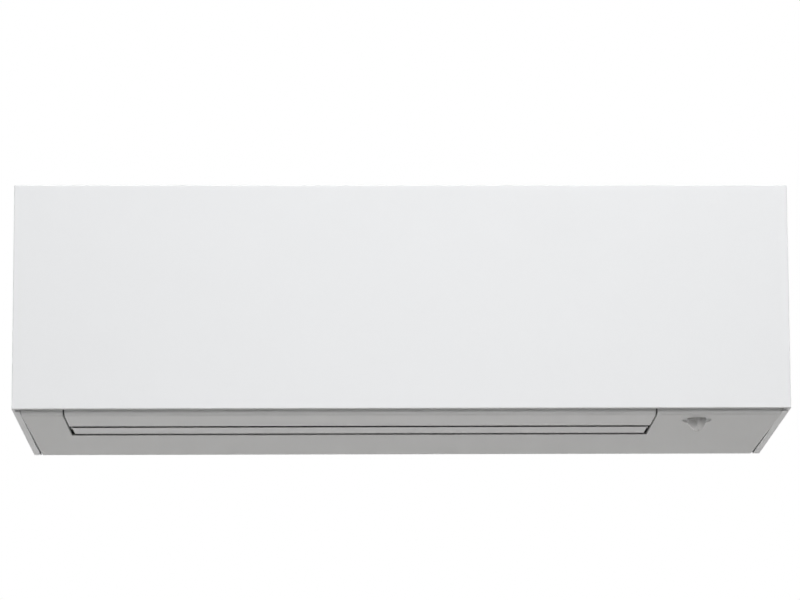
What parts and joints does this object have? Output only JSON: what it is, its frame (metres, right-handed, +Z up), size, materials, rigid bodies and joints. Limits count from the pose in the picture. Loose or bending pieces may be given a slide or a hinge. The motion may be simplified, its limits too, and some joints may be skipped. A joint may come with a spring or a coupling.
{
  "type": "wall-mounted air conditioner indoor unit",
  "caption": "Slim wall-hung indoor air conditioner unit with a flat front panel, an underside air flap and slat, a motion sensor dome, heat exchanger and cross-flow fan.",
  "frame": {"origin": "centre of the wall plate's wall face, at the middle of the unit's width and height", "axes": "+X to the right seen from the room, +Y into the wall, +Z up"},
  "size_m": [0.84, 0.219, 0.2819],
  "materials": {
    "panel_white": "smooth satin-gloss moulded plastic",
    "casing_white": "fine-textured moulded plastic",
    "flap_white": "smooth moulded plastic",
    "inner_plastic": "moulded plastic, light grey",
    "vane_plastic": "moulded plastic",
    "fan_plastic": "glass-filled plastic, dark grey",
    "filter_net": "woven plastic net in a soft frame",
    "fin_aluminium": "coated fin stock",
    "zinc_sheet": "galvanised sheet",
    "copper": "drawn copper tube",
    "brass_nut": "machined brass",
    "steel": "ground steel",
    "screw_zinc": "zinc plated",
    "rubber_black": "moulded rubber",
    "motor_resin": "resin-moulded motor case",
    "stepper_steel": "pressed steel can",
    "box_plastic": "flame-retardant plastic",
    "board_green": "circuit board",
    "terminal_plastic": "black terminal moulding",
    "lens_white": "milky lens plastic",
    "bezel_white": "moulded plastic"
  },
  "bodies": {
    "root": {"side_cover_left": "panel_white", "side_cover_right": "panel_white", "underside_cover": "casing_white", "front_casing": "casing_white", "service_cover": "casing_white", "casing_screws": "screw_zinc", "rear_chassis": "inner_plastic", "wall_plate": "zinc_sheet", "drain_pan": "inner_plastic", "drain_cap": "rubber_black", "tube_plate_left": "zinc_sheet", "tube_plate_right": "zinc_sheet", "return_bends_left": "copper", "return_bends_right": "copper", "gas_pipe": "copper", "liquid_pipe": "copper", "gas_nut": "brass_nut", "liquid_nut": "brass_nut", "pipe_holder": "inner_plastic", "fan_bearing": "steel", "bearing_holder": "rubber_black", "fan_motor": "motor_resin", "motor_bracket": "zinc_sheet", "flap_motor": "stepper_steel", "slat_motor": "stepper_steel", "control_box": "box_plastic", "control_box_cover": "box_plastic", "main_board": "board_green", "terminal_block": "terminal_plastic", "cable_clamp": "box_plastic", "receiver_board": "board_green", "thermistor": "copper", "sensor_bezel": "bezel_white", "sensor_lens": "lens_white", "sensor_element": "stepper_steel", "fin_pack_front_lower": "fin_aluminium", "fin_pack_front_upper": "fin_aluminium", "fin_pack_rear": "fin_aluminium"},
    "panel": {"front_panel": "panel_white", "panel_rim": "panel_white"},
    "flap": {"front_flap": "flap_white"},
    "slat": {"rear_slat": "flap_white"},
    "fan": {"cross_flow_fan": "fan_plastic", "fan_stub": "steel", "motor_shaft": "steel"},
    "filter_left": {"air_filter_left": "filter_net"},
    "filter_right": {"air_filter_right": "filter_net"},
    "button": {"manual_button": "casing_white"},
    "vane_left_1": {"vane_left_1": "vane_plastic"},
    "vane_left_2": {"vane_left_2": "vane_plastic"},
    "vane_left_3": {"vane_left_3": "vane_plastic"},
    "vane_left_4": {"vane_left_4": "vane_plastic"},
    "vane_left_5": {"vane_left_5": "vane_plastic"},
    "link_rod_left": {"link_rod_left": "vane_plastic"},
    "vane_right_1": {"vane_right_1": "vane_plastic"},
    "vane_right_2": {"vane_right_2": "vane_plastic"},
    "vane_right_3": {"vane_right_3": "vane_plastic"},
    "vane_right_4": {"vane_right_4": "vane_plastic"},
    "vane_right_5": {"vane_right_5": "vane_plastic"},
    "link_rod_right": {"link_rod_right": "vane_plastic"}
  },
  "joints": [
    {"name": "panel_hinge", "type": "hinge", "parent": "root", "child": "panel", "pos_m": [0, -0.195, 0.1345], "axis": [-1, 0, 0], "range_deg": [0, 70]},
    {"name": "flap_hinge", "type": "hinge", "parent": "root", "child": "flap", "pos_m": [0, -0.169, -0.10815], "axis": [1, 0, 0], "range_deg": [0, 80]},
    {"name": "slat_hinge", "type": "hinge", "parent": "root", "child": "slat", "pos_m": [0, -0.121, -0.11549], "axis": [1, 0, 0], "range_deg": [0, 80]},
    {"name": "fan_spin", "type": "hinge", "parent": "root", "child": "fan", "pos_m": [0, -0.084, -0.006], "axis": [1, 0, 0], "continuous": true},
    {"name": "filter_left_lift", "type": "slide", "parent": "root", "child": "filter_left", "axis": [0, 0, 1], "range_m": [0, 0.008]},
    {"name": "filter_right_lift", "type": "slide", "parent": "root", "child": "filter_right", "axis": [0, 0, 1], "range_m": [0, 0.008]},
    {"name": "button_press", "type": "slide", "parent": "root", "child": "button", "axis": [0, 1, 0], "range_m": [0, 0.0015], "stiffness_N_per_m": 400, "springref_m": -0.0008},
    {"name": "vane_left_1_swing", "type": "hinge", "parent": "root", "child": "vane_left_1", "pos_m": [-0.3339, -0.07708, -0.08373], "axis": [0, -0.6594, 0.7518], "range_deg": [-35, 35]},
    {"name": "vane_left_2_swing", "type": "hinge", "parent": "root", "child": "vane_left_2", "pos_m": [-0.2697, -0.07708, -0.08373], "axis": [0, -0.6594, 0.7518], "range_deg": [-35, 35]},
    {"name": "vanes_left_swing", "type": "hinge", "parent": "root", "child": "vane_left_3", "pos_m": [-0.2055, -0.07708, -0.08373], "axis": [0, -0.6594, 0.7518], "range_deg": [-35, 35]},
    {"name": "vane_left_4_swing", "type": "hinge", "parent": "root", "child": "vane_left_4", "pos_m": [-0.1413, -0.07708, -0.08373], "axis": [0, -0.6594, 0.7518], "range_deg": [-35, 35]},
    {"name": "vane_left_5_swing", "type": "hinge", "parent": "root", "child": "vane_left_5", "pos_m": [-0.0771, -0.07708, -0.08373], "axis": [0, -0.6594, 0.7518], "range_deg": [-35, 35]},
    {"name": "link_rod_left_turn", "type": "hinge", "parent": "vane_left_3", "child": "link_rod_left", "pos_m": [-0.2055, -0.12941, -0.06047], "axis": [0, -0.6594, 0.7518], "range_deg": [-35, 35]},
    {"name": "vane_right_1_swing", "type": "hinge", "parent": "root", "child": "vane_right_1", "pos_m": [-0.0129, -0.07708, -0.08373], "axis": [0, -0.6594, 0.7518], "range_deg": [-35, 35]},
    {"name": "vane_right_2_swing", "type": "hinge", "parent": "root", "child": "vane_right_2", "pos_m": [0.0513, -0.07708, -0.08373], "axis": [0, -0.6594, 0.7518], "range_deg": [-35, 35]},
    {"name": "vanes_right_swing", "type": "hinge", "parent": "root", "child": "vane_right_3", "pos_m": [0.1155, -0.07708, -0.08373], "axis": [0, -0.6594, 0.7518], "range_deg": [-35, 35]},
    {"name": "vane_right_4_swing", "type": "hinge", "parent": "root", "child": "vane_right_4", "pos_m": [0.1797, -0.07708, -0.08373], "axis": [0, -0.6594, 0.7518], "range_deg": [-35, 35]},
    {"name": "vane_right_5_swing", "type": "hinge", "parent": "root", "child": "vane_right_5", "pos_m": [0.2439, -0.07708, -0.08373], "axis": [0, -0.6594, 0.7518], "range_deg": [-35, 35]},
    {"name": "link_rod_right_turn", "type": "hinge", "parent": "vane_right_3", "child": "link_rod_right", "pos_m": [0.1155, -0.12941, -0.06047], "axis": [0, -0.6594, 0.7518], "range_deg": [-35, 35]}
  ],
  "couplings": [
    {"joint": "vane_left_1_swing", "follows": "vanes_left_swing", "ratio": 1},
    {"joint": "vane_left_2_swing", "follows": "vanes_left_swing", "ratio": 1},
    {"joint": "vane_left_4_swing", "follows": "vanes_left_swing", "ratio": 1},
    {"joint": "vane_left_5_swing", "follows": "vanes_left_swing", "ratio": 1},
    {"joint": "link_rod_left_turn", "follows": "vanes_left_swing", "ratio": -1},
    {"joint": "vane_right_1_swing", "follows": "vanes_right_swing", "ratio": 1},
    {"joint": "vane_right_2_swing", "follows": "vanes_right_swing", "ratio": 1},
    {"joint": "vane_right_4_swing", "follows": "vanes_right_swing", "ratio": 1},
    {"joint": "vane_right_5_swing", "follows": "vanes_right_swing", "ratio": 1},
    {"joint": "link_rod_right_turn", "follows": "vanes_right_swing", "ratio": -1}
  ]
}
